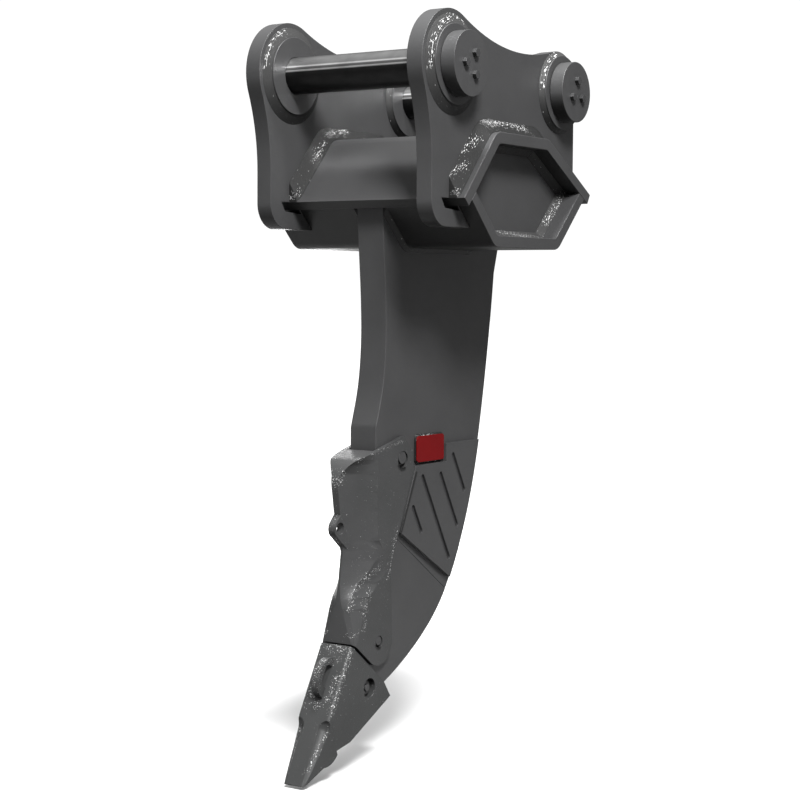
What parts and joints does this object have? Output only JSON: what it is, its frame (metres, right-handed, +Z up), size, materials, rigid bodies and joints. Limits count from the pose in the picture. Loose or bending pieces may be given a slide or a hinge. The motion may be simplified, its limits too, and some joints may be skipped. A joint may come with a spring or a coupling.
{
  "type": "excavator ripper",
  "caption": "Ripper for an excavator: pin-on ears on a welded box beam carry a curved shank with a pinned front guard, slotted wear plates and a replaceable pointed tooth.",
  "frame": {"origin": "middle of the front pin's axis, halfway between the ears", "axes": "+X along the pins to the right side, -Y to the digging front, +Z up; the tooth points down and forward"},
  "size_m": [0.618, 0.9085, 1.8211],
  "materials": {
    "dark_paint": "satin",
    "cast_steel": "satin cast",
    "pin_steel": "ground",
    "bolt_steel": "satin",
    "weld_bead": "satin over weld ripple",
    "badge_red": "satin"
  },
  "bodies": {
    "root": {"badge_plate": "badge_red", "badge_weld": "weld_bead", "beam_end_plate_left": "dark_paint", "beam_end_plate_right": "dark_paint", "beam_floor_plate_left": "dark_paint", "beam_floor_plate_right": "dark_paint", "beam_roof_plate": "dark_paint", "beam_welds_left": "weld_bead", "beam_welds_right": "weld_bead", "boss_welds_left": "weld_bead", "boss_welds_right": "weld_bead", "ear_plate_left": "dark_paint", "ear_plate_right": "dark_paint", "end_weld_left": "weld_bead", "end_weld_right": "weld_bead", "front_boss_left": "dark_paint", "front_boss_right": "dark_paint", "front_cap_bolts_left": "bolt_steel", "front_cap_bolts_right": "bolt_steel", "front_pin": "pin_steel", "front_pin_cap_left": "dark_paint", "front_pin_cap_right": "dark_paint", "lower_guard_pin": "pin_steel", "nose_adapter": "dark_paint", "rear_boss_left": "dark_paint", "rear_boss_right": "dark_paint", "rear_cap_bolts_left": "bolt_steel", "rear_cap_bolts_right": "bolt_steel", "rear_pin": "pin_steel", "rear_pin_cap_left": "dark_paint", "rear_pin_cap_right": "dark_paint", "shank": "dark_paint", "shank_guard": "cast_steel", "shank_welds": "weld_bead", "tooth": "cast_steel", "tooth_pin": "pin_steel", "tooth_pin_retainers": "bolt_steel", "upper_guard_pin": "pin_steel", "wear_plate_left": "dark_paint", "wear_plate_right": "dark_paint"}
  },
  "joints": []
}
